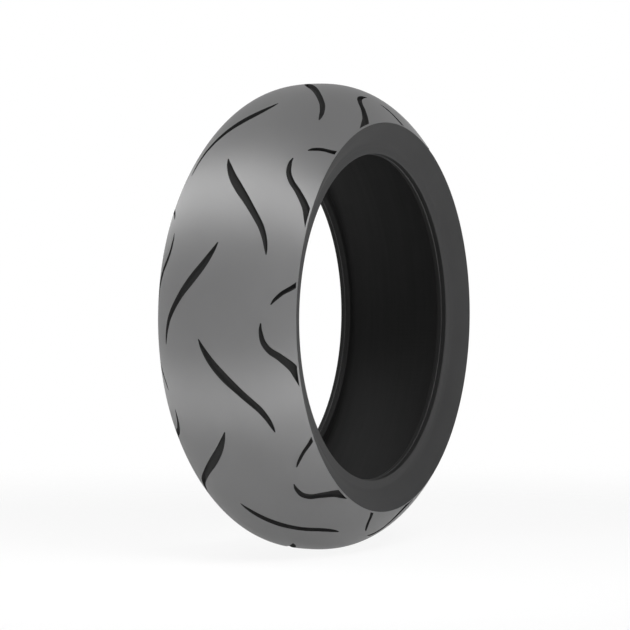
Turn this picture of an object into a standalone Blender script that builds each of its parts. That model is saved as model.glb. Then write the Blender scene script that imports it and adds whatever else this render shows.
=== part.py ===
"""Wide radial rear tyre for a 17 inch motorcycle rim, built up layer by layer.

The tyre stands upright with its centre at the origin. It spins about Y, +Z is up and +Y is its left side.
Each layer is a closed section of (axial offset, radius) points, turned about the spin axis. A section is
drawn on the left side, and the right side is its mirror image.
"""
import math

import bmesh
import bpy
from mathutils import Vector

# Overall form
RIM_DIAMETER = 0.437
SECTION_HEIGHT = 0.0960
SHOULDER_HEIGHT = 0.0414
TREAD_WIDTH = 0.2026
BEAD_SPAN = 0.1644
CROWN_POWER = 2.58
SIDEWALL_BULGE = 0.0012

# Clearance between bonded layers, and the facets that every ring shares
GAP = 0.0003
SEGMENTS = 36
CROWN_STATIONS = (0.2, 0.55, 0.82, 1.0)

# Crown layers, from the road inwards
TREAD_THICKNESS = 0.0068
UNDERTREAD_THICKNESS = 0.0012
BELT_THICKNESS = 0.0011
BREAKER_THICKNESS = 0.0008
PLY_THICKNESS = 0.0009
LINER_THICKNESS = 0.0010

# Axial width of the centre strip, and how far the layers below stop short of the tread edge
TREAD_CENTRE_WIDTH = 0.0840
UNDERTREAD_SETBACK = 0.0033
BREAKER_SETBACK = 0.0213
BELT_SETBACK = 0.0243

# Bead
BEAD_WIDTH = 0.0130
BEAD_SEAT_TAPER = math.radians(5)
HEEL_CHAMFER = 0.0016
TOE_BEVEL_WIDTH = 0.0045
TOE_BEVEL = math.radians(25)
FLANGE_HEIGHT = 0.0130
BEAD_COVER_THICKNESS = 0.0018
BEAD_TURN_CHAMFER = 0.0015
WRAP_THICKNESS = 0.0005
CORE_HEIGHT = 0.0046
FILLER_FOOT = 0.0014
FILLER_TIP_THICKNESS = 0.0008
TURN_UP_BEND = 0.0020
TURN_UP_ROOM = 0.0030

# How the ply leaves the bead, and how far it keeps the crown's and the bead's direction round the shoulder
PLY_LEAN = math.radians(56)
SHOULDER_REACH = 0.030
BEAD_REACH = 0.020

# Where the turn-up and the filler end, as shares of the ply's way from shoulder to bead
TURN_UP_SHARE = 0.50
FILLER_SHARE = 0.75

# Tread grooves
PITCHES = 8
GROOVE_FLOOR = 0.0015
GROOVE_DRAFT = 0.60
GROOVE_EDGE_MARGIN = 0.0016
CUTTER_RISE = 0.0040

# Centre line of each groove: (degrees round the tyre, distance, width).
# The long groove's distance runs from the tread's centre line out, the others' from the tread edge in.
LONG_GROOVE = (
    (28.1, 0.0693, 0.0022),
    (25.3, 0.0671, 0.0056),
    (21.1, 0.0578, 0.0079),
    (16.4, 0.0392, 0.0094),
    (12.2, 0.0195, 0.0113),
    (7.7, 0.0006, 0.0082),
    (4.2, -0.0092, 0.0018),
)
SHOULDER_GROOVE = (
    (17.8, -0.0020, 0.0070),
    (13.7, 0.0030, 0.0110),
    (11.1, 0.0092, 0.0106),
    (8.2, 0.0202, 0.0084),
    (5.0, 0.0303, 0.0071),
    (0.4, 0.0325, 0.0020),
)
SHORT_GROOVE = (
    (-11.2, -0.0020, 0.0062),
    (-7.5, 0.0125, 0.0053),
    (-4.3, 0.0230, 0.0018),
)

SEAT_RADIUS = RIM_DIAMETER / 2
CROWN_RADIUS = SEAT_RADIUS + SECTION_HEIGHT
CROWN_DROP = SECTION_HEIGHT - SHOULDER_HEIGHT
TREAD_HALF = TREAD_WIDTH / 2
UNDERTREAD_HALF = TREAD_HALF - UNDERTREAD_SETBACK
BREAKER_HALF = TREAD_HALF - BREAKER_SETBACK
BELT_HALF = TREAD_HALF - BELT_SETBACK
HEEL_OFFSET = BEAD_SPAN / 2
TOE_OFFSET = HEEL_OFFSET - BEAD_WIDTH
BEAD_SEAT_WIDTH = BEAD_WIDTH - TOE_BEVEL_WIDTH
FLANGE_RADIUS = SEAT_RADIUS + FLANGE_HEIGHT

# Points down the ply's way from shoulder to bead
SIDEWALL_STATIONS = (TURN_UP_SHARE / 2, TURN_UP_SHARE, FILLER_SHARE, 1.0)

# Depth of each layer's outer face below the tread face
UNDERTREAD_DEPTH = TREAD_THICKNESS + GAP
BELT_DEPTH = UNDERTREAD_DEPTH + UNDERTREAD_THICKNESS + GAP
BREAKER_DEPTH = BELT_DEPTH + BELT_THICKNESS + GAP
PLY_DEPTH = BREAKER_DEPTH + BREAKER_THICKNESS + GAP

# Distance from the middle of the ply to what lies against it
PLY_CLEARANCE = PLY_THICKNESS / 2 + GAP

# Heights inside the bead, from the rim seat outwards
TURN_RADIUS = SEAT_RADIUS + BEAD_COVER_THICKNESS + PLY_CLEARANCE
CORE_BOTTOM = TURN_RADIUS + PLY_CLEARANCE + WRAP_THICKNESS + GAP
CORE_TOP = CORE_BOTTOM + CORE_HEIGHT
BEND_RADIUS = CORE_TOP + GAP + FILLER_FOOT


def crown_radius(axial):
    """Radius of the tread face at an axial offset."""
    return CROWN_RADIUS - CROWN_DROP * abs(axial / TREAD_HALF) ** CROWN_POWER


def crown_slope(axial):
    """Change of the tread face's radius per unit of axial offset."""
    share = abs(axial / TREAD_HALF)
    return -math.copysign(CROWN_DROP * CROWN_POWER / TREAD_HALF * share ** (CROWN_POWER - 1), axial)


def left_normal(start, end):
    """Unit normal on the left of the step from start to end."""
    step = (end - start).normalized()
    return Vector((-step.y, step.x))


def offset_line(line, distance):
    """Copy of a line moved to its left by a distance, with mitred corners and square ends."""
    normals = [left_normal(start, end) for start, end in zip(line, line[1:])]
    moved = [line[0] + normals[0] * distance]
    for point, before, after in zip(line[1:-1], normals, normals[1:]):
        middle = (before + after).normalized()
        moved.append(point + middle * (distance / middle.dot(before)))
    moved.append(line[-1] + normals[-1] * distance)
    return moved


def band(line, near, far):
    """Closed section between two copies of a line, each moved to its left."""
    return offset_line(line, near) + offset_line(line, far)[::-1]


def layer_line(depth, start=-TREAD_HALF, end=TREAD_HALF):
    """Line at a depth below the tread face, from one axial offset on that face to another."""
    stations = sorted(side * share * TREAD_HALF for side in (-1, 1) for share in CROWN_STATIONS)
    line = offset_line([Vector((axial, crown_radius(axial))) for axial in stations], -depth)
    chords = list(zip(stations, stations[1:], line, line[1:]))

    def point_at(axial):
        chord = next(chord for chord in chords if axial <= chord[1] or chord is chords[-1])
        near, far, near_point, far_point = chord
        return near_point.lerp(far_point, (axial - near) / (far - near))

    inner = [point for axial, point in zip(stations, line) if start < axial < end]
    return [point_at(start)] + inner + [point_at(end)]


def edge_chord():
    """Last chord of the tread face, down to the left tread edge."""
    return layer_line(0)[-2:]


def mirrored(section):
    """The same section on the right side of the tyre."""
    return [Vector((-point.x, point.y)) for point in reversed(section)]


def towards(point, target, distance):
    """The point moved by a distance towards another."""
    return point + (target - point).normalized() * distance


def shoulder_curve(start, start_pull, end, end_pull):
    """Points down the sidewall on a cubic curve, without its start."""
    points = []
    for share in SIDEWALL_STATIONS:
        rest = 1 - share
        points.append(
            start * rest ** 3
            + start_pull * (3 * rest ** 2 * share)
            + end_pull * (3 * rest * share ** 2)
            + end * share ** 3
        )
    return points


def bead_outline():
    """Outer face of the left bead, from the flange's top round the heel and the toe to the inner edge."""
    seat_end = Vector((
        HEEL_OFFSET - BEAD_SEAT_WIDTH,
        SEAT_RADIUS - BEAD_SEAT_WIDTH * math.tan(BEAD_SEAT_TAPER),
    ))
    toe = Vector((TOE_OFFSET, seat_end.y + TOE_BEVEL_WIDTH * math.tan(TOE_BEVEL)))
    return [
        Vector((HEEL_OFFSET, FLANGE_RADIUS)),
        Vector((HEEL_OFFSET, SEAT_RADIUS + HEEL_CHAMFER)),
        Vector((HEEL_OFFSET - HEEL_CHAMFER, SEAT_RADIUS)),
        seat_end,
        toe,
        Vector((TOE_OFFSET, BEND_RADIUS - 2 * GAP)),
    ]


def ply_turn():
    """Middle of the ply round the core: along the toe bevel and the seat, and chamfered at the heel."""
    flange, _, seat_start, *toe_side = bead_outline()
    seat_end = toe_side[0]
    heel = seat_end + (seat_start - seat_end) * (BEAD_SEAT_WIDTH / (BEAD_SEAT_WIDTH - HEEL_CHAMFER))
    line = offset_line([flange, heel] + toe_side, -BEAD_COVER_THICKNESS - PLY_CLEARANCE)
    flange, heel, seat_end, toe, _ = line
    return [
        toe,
        seat_end,
        towards(heel, seat_end, BEAD_TURN_CHAMFER),
        towards(heel, flange, BEAD_TURN_CHAMFER),
    ]


def ply_paths():
    """Middle of the left ply: (crown to bead bend, round the core, up the outside to the turn-up's end)."""
    crown = layer_line(PLY_DEPTH + PLY_THICKNESS / 2)
    left_crown = [point for point in crown if point.x > 0][:-1]
    shoulder = left_crown[-1]
    station, edge = edge_chord()
    turn = ply_turn()
    bend = Vector((turn[0].x, BEND_RADIUS))
    shoulder_pull = shoulder + (edge - station).normalized() * SHOULDER_REACH
    bend_pull = bend + Vector((math.cos(PLY_LEAN), math.sin(PLY_LEAN))) * BEAD_REACH
    sidewall = shoulder_curve(shoulder, shoulder_pull, bend, bend_pull)
    main = left_crown + sidewall
    beside = offset_line(main, PLY_THICKNESS + GAP)
    round_filler = offset_line(main, 2 * PLY_CLEARANCE + FILLER_TIP_THICKNESS)
    turn_up = [
        Vector((turn[-1].x, FLANGE_RADIUS + TURN_UP_BEND)),
        round_filler[len(left_crown) + SIDEWALL_STATIONS.index(FILLER_SHARE)],
        beside[len(left_crown) + SIDEWALL_STATIONS.index(TURN_UP_SHARE)],
    ]
    return main, turn, turn_up


def carcass_section():
    """Whole cord ply from the right turn-up's end to the left one."""
    main, turn, turn_up = ply_paths()
    left = main + turn + turn_up
    return band(mirrored(left) + left, PLY_THICKNESS / 2, -PLY_THICKNESS / 2)


def liner_section():
    """Air-tight skin inside the ply, from bead bend to bead bend."""
    main = ply_paths()[0]
    return band(mirrored(main) + main, -PLY_CLEARANCE, -PLY_CLEARANCE - LINER_THICKNESS)


def strip_section(start, end, depth, thickness):
    """Layer of an even thickness between two axial offsets on the tread face."""
    return layer_line(depth, start, end) + layer_line(depth + thickness, start, end)[::-1]


def crown_section(half_width, depth, thickness):
    """Crown layer of an even thickness at a depth below the tread face."""
    return strip_section(-half_width, half_width, depth, thickness)


def shoulder_tread_section():
    """Tread strip from the centre strip's seam to the tread edge."""
    return strip_section(TREAD_CENTRE_WIDTH / 2 + GAP, TREAD_HALF, 0, TREAD_THICKNESS)


def under_tread_edge(past):
    """Point square below the tread edge at the ply's depth, a distance past the tread's end face."""
    chord = edge_chord()
    return offset_line(chord, -PLY_DEPTH)[1] + (chord[1] - chord[0]).normalized() * past


def belt_edge_section():
    """Wedge that fills the shoulder between the belt edges, the ply and the sidewall."""
    start = max(BREAKER_HALF, BELT_HALF) + GAP
    top = layer_line(BELT_DEPTH, start, UNDERTREAD_HALF)
    bottom = layer_line(PLY_DEPTH - GAP, start)[:-1]
    beside_ply = offset_line(ply_paths()[0], PLY_CLEARANCE)[-len(SIDEWALL_STATIONS):]
    above_turn_up = towards(beside_ply[1], beside_ply[0], TURN_UP_ROOM)
    return top + [under_tread_edge(-GAP), above_turn_up, beside_ply[0]] + bottom[::-1]


def sidewall_section():
    """Side rubber between the tread edge and the chafer."""
    turn, turn_up = ply_paths()[1:]
    station, edge = edge_chord()
    flange = Vector((HEEL_OFFSET, FLANGE_RADIUS))
    middle = (edge + flange) / 2 + left_normal(edge, flange) * SIDEWALL_BULGE
    beside_turn_up = offset_line(turn[-1:] + turn_up, -PLY_CLEARANCE)
    drop = (middle - edge).normalized().dot((edge - station).normalized())
    rise = (middle - flange).normalized().y
    return [
        towards(edge, middle, GAP / drop),
        middle,
        towards(flange, middle, GAP / rise),
        Vector((HEEL_OFFSET - BEAD_COVER_THICKNESS, FLANGE_RADIUS + GAP)),
        *beside_turn_up[1:],
        under_tread_edge(GAP),
    ]


def chafer_section():
    """Hard strip over the flange face, the heel and the rim seat."""
    outer = bead_outline()[:4]
    inner = offset_line(bead_outline(), -BEAD_COVER_THICKNESS)[:4]
    outer[-1] = towards(outer[-1], outer[-2], GAP / 2)
    inner[-1] = towards(inner[-1], inner[-2], GAP / 2)
    return outer + inner[::-1]


def toe_strip_section():
    """Rubber strip over the toe bevel and up the bead's inner edge."""
    outer = bead_outline()[3:]
    inner = offset_line(bead_outline(), -BEAD_COVER_THICKNESS)[3:]
    outer[0] = towards(outer[0], outer[1], GAP / 2)
    inner[0] = towards(inner[0], inner[1], GAP / 2)
    return outer + inner[::-1]


def bead_channel():
    """Middle of the ply round the core, open at the top."""
    turn = ply_paths()[1]
    return [Vector((turn[0].x, CORE_TOP))] + turn + [Vector((turn[-1].x, CORE_TOP))]


def bead_wrap_section():
    """Fabric channel under and beside the core."""
    return band(bead_channel(), PLY_CLEARANCE, PLY_CLEARANCE + WRAP_THICKNESS)


def bead_core_section():
    """Bundle of bead wire."""
    return offset_line(bead_channel(), PLY_CLEARANCE + WRAP_THICKNESS + GAP)


def bead_filler_section():
    """Hard wedge between the ply and its turn-up."""
    main, turn, turn_up = ply_paths()
    inner = offset_line(main + turn[:1], PLY_CLEARANCE)[-len(SIDEWALL_STATIONS) - 1:]
    tip = inner[SIDEWALL_STATIONS.index(FILLER_SHARE)]
    bend = inner[-2]
    outer = offset_line(turn[-1:] + turn_up, PLY_CLEARANCE)
    foot = CORE_TOP + GAP
    return [
        Vector((bend.x, foot)),
        Vector((outer[0].x, foot)),
        outer[1],
        outer[2],
        tip,
        bend,
    ]


def finish(name, colour, roughness, metallic):
    """Plain surface finish for one piece."""
    material = bpy.data.materials.new(name)
    material.use_nodes = True
    shader = material.node_tree.nodes["Principled BSDF"]
    shader.inputs["Base Color"].default_value = (*colour, 1)
    shader.inputs["Roughness"].default_value = roughness
    shader.inputs["Metallic"].default_value = metallic
    return material


def add_object(name, build, tyre):
    """Put a finished bmesh into the scene as a named object under the tyre's empty."""
    mesh = bpy.data.meshes.new(name)
    build.to_mesh(mesh)
    build.free()
    piece = bpy.data.objects.new(name, mesh)
    piece.parent = tyre
    bpy.context.collection.objects.link(piece)
    return piece


def round_point(axial, radius, angle):
    """Place in the tyre's frame of a section point turned by an angle from the +X axis."""
    return Vector((radius * math.cos(angle), axial, radius * math.sin(angle)))


def add_ring(name, section, tyre, look):
    """Turn a closed section about the spin axis, with a flat facet at the bottom."""
    build = bmesh.new()
    first = -math.pi / 2 + math.pi / SEGMENTS
    corners = [build.verts.new(round_point(point.x, point.y, first)) for point in section]
    for start, end in zip(corners, corners[1:] + corners[:1]):
        build.edges.new((start, end))
    bmesh.ops.spin(
        build,
        geom=build.verts[:] + build.edges[:],
        cent=(0, 0, 0),
        axis=(0, 1, 0),
        angle=2 * math.pi,
        steps=SEGMENTS,
        use_merge=True,
    )
    bmesh.ops.recalc_face_normals(build, faces=build.faces)
    ring = add_object(name, build, tyre)
    ring.data.shade_smooth()
    ring.data.set_sharp_from_angle(angle=math.radians(25))
    ring.data.materials.append(finish(name, *look))
    return ring


def add_ring_pair(name, section, tyre, look):
    """The same ring on the left and on the right."""
    return [
        add_ring(name + "_left", section, tyre, look),
        add_ring(name + "_right", mirrored(section), tyre, look),
    ]


def groove_station(angle, axial):
    """Point on the tread face, and the face's normal there."""
    slope = crown_slope(axial)
    normal = round_point(-slope, 1, angle).normalized()
    return round_point(axial, crown_radius(axial), angle), normal


def add_groove(build, route, side, turn):
    """One closed cutter along a groove: a tapering trough that stands proud of the tread face."""
    stations = [groove_station(math.radians(degrees) + turn, side * axial) for degrees, axial, width in route]
    depth = TREAD_THICKNESS - GROOVE_FLOOR
    rings = []
    for index, (point, normal) in enumerate(stations):
        before = stations[max(index - 1, 0)][0]
        after = stations[min(index + 1, len(stations) - 1)][0]
        across = (after - before).cross(normal).normalized() * (route[index][2] / 2)
        top = point + normal * CUTTER_RISE
        floor = point - normal * depth
        corners = (top - across, top + across, floor + across * GROOVE_DRAFT, floor - across * GROOVE_DRAFT)
        rings.append([build.verts.new(corner) for corner in corners])
    for near, far in zip(rings, rings[1:]):
        for corner in range(4):
            following = (corner + 1) % 4
            build.faces.new((near[corner], near[following], far[following], far[corner]))
    build.faces.new(rings[0][::-1])
    build.faces.new(rings[-1])


def trim_at_edge(build, side):
    """Cut the grooves that run out square, just short of the tread edge."""
    limit = side * (TREAD_HALF - GROOVE_EDGE_MARGIN)
    bmesh.ops.bisect_plane(
        build,
        geom=build.verts[:] + build.edges[:] + build.faces[:],
        plane_co=(0, limit, 0),
        plane_no=(0, side, 0),
        clear_outer=True,
    )
    bmesh.ops.holes_fill(build, edges=[edge for edge in build.edges if edge.is_boundary])


def from_edge(route):
    """A route given from the tread edge, measured from the centre line instead."""
    return [(degrees, TREAD_HALF - inset, width) for degrees, inset, width in route]


def add_groove_cutter(tyre):
    """All grooves of both halves, the left half turned by half a pitch against the right."""
    build = bmesh.new()
    routes = [LONG_GROOVE, from_edge(SHOULDER_GROOVE), from_edge(SHORT_GROOVE)]
    for side, phase in ((-1, 0.0), (1, 0.5)):
        for pitch in range(PITCHES):
            turn = 2 * math.pi * (pitch + phase) / PITCHES
            for route in routes:
                add_groove(build, route, side, turn)
        trim_at_edge(build, side)
    bmesh.ops.triangulate(build, faces=build.faces)
    bmesh.ops.recalc_face_normals(build, faces=build.faces)
    cutter = add_object("groove_cutter", build, tyre)
    cutter.hide_render = True
    cutter.display_type = "WIRE"
    return cutter


def cut_grooves(piece, cutter):
    """Take the grooves out of a tread strip."""
    cut = piece.modifiers.new("grooves", "BOOLEAN")
    cut.operation = "DIFFERENCE"
    cut.solver = "EXACT"
    cut.object = cutter


TREAD_RUBBER = ((0.170, 0.170, 0.172), 0.62, 0.0)
SIDE_RUBBER = ((0.060, 0.060, 0.061), 0.55, 0.0)
BEAD_RUBBER = ((0.044, 0.044, 0.045), 0.50, 0.0)
LINER_RUBBER = ((0.016, 0.016, 0.016), 0.60, 0.0)
BASE_RUBBER = ((0.045, 0.044, 0.043), 0.70, 0.0)
CORD_FABRIC = ((0.230, 0.195, 0.140), 0.85, 0.0)
STEEL_CORD = ((0.420, 0.360, 0.240), 0.38, 1.0)
BEAD_STEEL = ((0.480, 0.460, 0.430), 0.34, 1.0)


def build_tyre():
    """Every layer of the tyre, from the inside out."""
    for old in list(bpy.data.objects):
        bpy.data.objects.remove(old, do_unlink=True)
    tyre = bpy.data.objects.new("tyre", None)
    bpy.context.collection.objects.link(tyre)

    add_ring("inner_liner", liner_section(), tyre, LINER_RUBBER)
    add_ring("carcass_ply", carcass_section(), tyre, CORD_FABRIC)
    add_ring_pair("bead_core", bead_core_section(), tyre, BEAD_STEEL)
    add_ring_pair("bead_wrap", bead_wrap_section(), tyre, CORD_FABRIC)
    add_ring_pair("bead_filler", bead_filler_section(), tyre, BASE_RUBBER)
    add_ring_pair("chafer", chafer_section(), tyre, BEAD_RUBBER)
    add_ring_pair("toe_strip", toe_strip_section(), tyre, BEAD_RUBBER)
    breaker = crown_section(BREAKER_HALF, BREAKER_DEPTH, BREAKER_THICKNESS)
    add_ring("breaker_ply", breaker, tyre, CORD_FABRIC)
    belt = crown_section(BELT_HALF, BELT_DEPTH, BELT_THICKNESS)
    add_ring("zero_degree_belt", belt, tyre, STEEL_CORD)
    add_ring_pair("belt_edge_strip", belt_edge_section(), tyre, BASE_RUBBER)
    base = crown_section(UNDERTREAD_HALF, UNDERTREAD_DEPTH, UNDERTREAD_THICKNESS)
    add_ring("undertread", base, tyre, BASE_RUBBER)
    add_ring_pair("sidewall", sidewall_section(), tyre, SIDE_RUBBER)

    centre = crown_section(TREAD_CENTRE_WIDTH / 2, 0, TREAD_THICKNESS)
    strips = [add_ring("tread_centre", centre, tyre, TREAD_RUBBER)]
    strips += add_ring_pair("tread_shoulder", shoulder_tread_section(), tyre, TREAD_RUBBER)
    cutter = add_groove_cutter(tyre)
    for strip in strips:
        cut_grooves(strip, cutter)


build_tyre()
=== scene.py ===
"""Looks of a wide rear motorcycle tyre, laid out as an add-on and run as a script.

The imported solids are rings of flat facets. Here every ring is drawn again as a section and turned about the
axle in fine steps, the tread's grooves are cut to their depth, and each layer gets its own finish.
"""

import math

import bmesh
import bpy
from bpy.props import FloatProperty, FloatVectorProperty, IntProperty, PointerProperty
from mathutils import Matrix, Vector
from mathutils.geometry import interpolate_bezier, intersect_point_line


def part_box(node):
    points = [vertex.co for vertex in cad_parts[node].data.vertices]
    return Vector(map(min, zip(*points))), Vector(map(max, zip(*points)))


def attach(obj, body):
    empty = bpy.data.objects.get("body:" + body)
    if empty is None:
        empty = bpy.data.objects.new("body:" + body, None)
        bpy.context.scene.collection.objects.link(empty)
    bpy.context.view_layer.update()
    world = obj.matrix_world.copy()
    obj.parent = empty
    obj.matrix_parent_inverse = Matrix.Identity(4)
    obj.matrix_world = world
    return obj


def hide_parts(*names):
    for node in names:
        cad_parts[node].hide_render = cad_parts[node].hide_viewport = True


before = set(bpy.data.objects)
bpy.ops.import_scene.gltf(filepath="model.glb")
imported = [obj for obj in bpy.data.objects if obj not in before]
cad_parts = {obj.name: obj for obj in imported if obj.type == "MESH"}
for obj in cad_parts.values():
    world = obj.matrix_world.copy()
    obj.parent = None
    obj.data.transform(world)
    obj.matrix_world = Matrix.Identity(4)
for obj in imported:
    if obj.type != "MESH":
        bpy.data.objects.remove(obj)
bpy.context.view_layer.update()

bl_info = {
    "name": "Motorcycle tyre finisher",
    "version": (1, 0, 0),
    "blender": (4, 5, 0),
    "location": "View3D > Sidebar > Tyre",
    "description": "Turns the tyre's rings, cuts its tread grooves and sets its rubber finishes and studio",
    "category": "Object",
}

BODY = "root"
SIDES = {"left": 1, "right": -1}
ORIGIN = (0, 0, 0)
AXLE = (0, 1, 0)
WHITE = (1, 1, 1, 1)

# Limits for points and for angles that count as one, the sharpest smooth edge, and a new plane's size.
MERGE = 1e-6
SAME_ANGLE = 1e-3
SMOOTH_ANGLE = math.radians(32)
STARTER_SIZE = 0.01

# Steps of each ring round the axle, and stations across the tread strips. A strip's underside needs fewer,
# and its borders have one more station a lip's width inside them.
TREAD_STEPS = 384
SIDE_STEPS = 320
LINER_STEPS = 256
LAYER_STEPS = 180
CENTRE_STATIONS = 40
SHOULDER_STATIONS = 32
INNER_STRIDE = 4
TREAD_LIP = 0.0003

# A rounded corner takes at most this share of its edges, and its curve is pulled this far to the corner.
# A full reach is longer than any edge, so the share decides.
CORNER_ROOM = 0.48
CORNER_PULL = 0.6
FULL_REACH = 1.0

# Height of a groove's cutter over the tread, the limits of its foot and lean as shares of its width, and
# where the middle of the foot's arc lies as a share of its radius.
CUTTER_RISE = 0.003
FOOT_LIMIT = 0.28
LEAN_LIMIT = 0.15
ARC_MIDDLE = 0.29

# Radius at which a groove's degrees are measured as a length.
GROOVE_GAUGE = 0.3

# Bead: how far its face stands out of the solid, and how far the colours of its face and its flash reach,
# as shares of the heel's chamfer and of the flash's height.
BEAD_LIFT = 0.0016
FACE_SHARE = 0.8
FLASH_SKIN = 0.25

# Studio: the lit tables lie just above the floor, which fades out between two distances from the middle.
# The light of the ground and of the room blend over a blur at the horizon. The sensor is in millimetres.
TABLE_GAP = 0.003
FLOOR_SIZE = 4
FLOOR_FADE = (0.6, 1.6)
HORIZON_BLUR = 0.05
SENSOR_WIDTH = 36

# Colour ramps turn from dark to light between these two values of their factor.
SHADE_FROM = 0.3
SHADE_TO = 0.7

# How fast the fine turned lines change on their way round, for each metre.
LINE_DRIFT = 5

# Grooves of one pitch on the tread's right half, as (degrees round, metres from the middle, width).
LONG_GROOVE = (
    (28.4, 0.0697, 0.0012),
    (27.0, 0.0686, 0.0042),
    (24.3, 0.0652, 0.0066),
    (21.1, 0.0578, 0.0082),
    (16.4, 0.0392, 0.0096),
    (12.9, 0.0228, 0.0116),
    (9.3, 0.0068, 0.0101),
    (6.0, -0.0046, 0.0060),
    (4.0, -0.0098, 0.0012),
)
SHOULDER_GROOVE = (
    (18.6, 0.1042, 0.0132),
    (15.0, 0.0997, 0.0122),
    (12.2, 0.0953, 0.0112),
    (9.0, 0.0850, 0.0091),
    (7.3, 0.0772, 0.0084),
    (5.0, 0.0710, 0.0071),
    (2.1, 0.0686, 0.0045),
    (0.3, 0.0690, 0.0012),
)
SHORT_GROOVE = (
    (-11.2, 0.1036, 0.0066),
    (-9.1, 0.0963, 0.0061),
    (-7.5, 0.0888, 0.0053),
    (-5.6, 0.0820, 0.0042),
    (-4.3, 0.0784, 0.0012),
)


def plain_length(name, description, default):
    """Property for a length in metres."""
    return FloatProperty(
        name=name, description=description, default=default, min=0, unit="LENGTH", precision=4
    )


def plain_offset(name, description, default):
    """Property for a distance in metres that may go either way."""
    return FloatProperty(name=name, description=description, default=default, unit="LENGTH")


def plain_number(name, description, default):
    """Property for a bare number."""
    return FloatProperty(name=name, description=description, default=default, min=0)


def plain_power(name, description, default):
    """Property for a lamp's power in watts."""
    return FloatProperty(name=name, description=description, default=default, min=0, unit="POWER")


def plain_angle(name, description, degrees):
    """Property for an angle."""
    return FloatProperty(name=name, description=description, default=math.radians(degrees), subtype="ANGLE")


def plain_colour(name, description, default):
    """Property for a linear colour."""
    return FloatVectorProperty(
        name=name, description=description, default=default, subtype="COLOR", size=3, min=0, max=1
    )


class TyreSizes(bpy.types.PropertyGroup):
    """Sizes of the tyre's visible surfaces."""

    crown_radius: plain_length("Crown radius", "Radius of the tread on the middle line", 0.3145)
    crown_drop: plain_length("Crown drop", "Fall of the tread from the middle to its edge", 0.0546)
    crown_power: FloatProperty(
        name="Crown power",
        description="How late the crown turns down: 2 is a parabola",
        default=2.58,
        min=1,
    )
    tread_half: plain_length(
        "Tread half width", "Middle line to tread edge", round(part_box("tread_shoulder_left")[1].y, 5)
    )
    tread_seam: plain_length(
        "Tread seam",
        "Middle line to the seam of the two tread compounds",
        round(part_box("tread_centre")[1].y, 5),
    )
    tread_thickness: plain_length("Tread thickness", "Tread rubber above the undertread", 0.0068)
    tread_edge_round: plain_length("Tread edge round", "Rounding of the tread edge", 0.0006)
    pitches: IntProperty(
        name="Pitches", description="Groove groups round one half of the tread", default=8, min=1
    )
    groove_depth: plain_length("Groove depth", "Depth of the widest grooves", 0.0053)
    groove_full_width: plain_length("Full depth width", "Grooves narrower than this get shallower", 0.0060)
    groove_draft: plain_angle("Groove draft", "Lean of the groove walls", 9)
    groove_foot_round: plain_length("Groove foot round", "Rounding between groove wall and floor", 0.0014)
    groove_margin: plain_length("Groove margin", "Plain rubber left between grooves and tread edge", 0.0016)
    sidewall_bulge: plain_length("Sidewall bulge", "How far the sidewall bulges out of a cone", 0.0012)
    bead_offset: plain_length(
        "Bead offset", "Middle plane to the bead face", round(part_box("chafer_left")[1].y + BEAD_LIFT, 5)
    )
    flange_radius: plain_length("Flange radius", "Radius where the sidewall ends at the bead face", 0.2315)
    seat_radius: plain_length("Seat radius", "Radius of the bead seat at its heel", 0.2185)
    seat_width: plain_length("Seat width", "Width of the tapered bead seat", 0.0101)
    seat_taper: plain_angle("Seat taper", "Taper of the bead seat", 5)
    heel_chamfer: plain_length("Heel chamfer", "Size of the bead heel", 0.0012)
    toe_width: plain_length("Toe width", "Width of the toe bevel", 0.0045)
    toe_bevel: plain_angle("Toe bevel", "Slope of the toe bevel", 25)
    flash_place: plain_length("Flash place", "Bead face to the mould flash on the seat", 0.0072)
    flash_width: plain_length("Flash width", "Width of the mould flash", 0.0015)
    flash_height: plain_length("Flash height", "Height of the mould flash", 0.0007)


class TyreColours(bpy.types.PropertyGroup):
    """Colours of the tyre's materials."""

    tread: plain_colour("Tread rubber", "Moulded tread surface", (0.070, 0.070, 0.071))
    # Groove colour: darker than the tread, painted shade for the grooves.
    groove: plain_colour("Groove rubber", "Walls and floors of the grooves", (0.022, 0.022, 0.022))
    side: plain_colour("Side rubber", "Moulded sidewalls", (0.0336, 0.0336, 0.0339))
    bead: plain_colour("Bead rubber", "Faces of the hard strips at the beads", (0.0253, 0.0253, 0.0256))
    # Seat colour: far darker than the bead face, painted shade for the bore of the bead and its toes.
    seat: plain_colour("Seat rubber", "Smooth bead seats and toes", (0.0084, 0.0084, 0.0084))
    flash: plain_colour("Flash rubber", "Mould flash on the seats", (0.021, 0.021, 0.0213))
    liner: plain_colour("Liner rubber", "Air-tight skin inside", (0.0122, 0.0122, 0.0122))
    base: plain_colour("Base rubber", "Uncoated rubber between the layers", (0.045, 0.044, 0.043))
    cord: plain_colour("Ply cord", "Rubbered cord fabric", (0.230, 0.195, 0.140))
    belt: plain_colour("Belt cord", "Brass-plated steel cord", (0.420, 0.360, 0.240))
    wire: plain_colour("Bead wire", "Drawn steel wire", (0.480, 0.460, 0.430))


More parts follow.
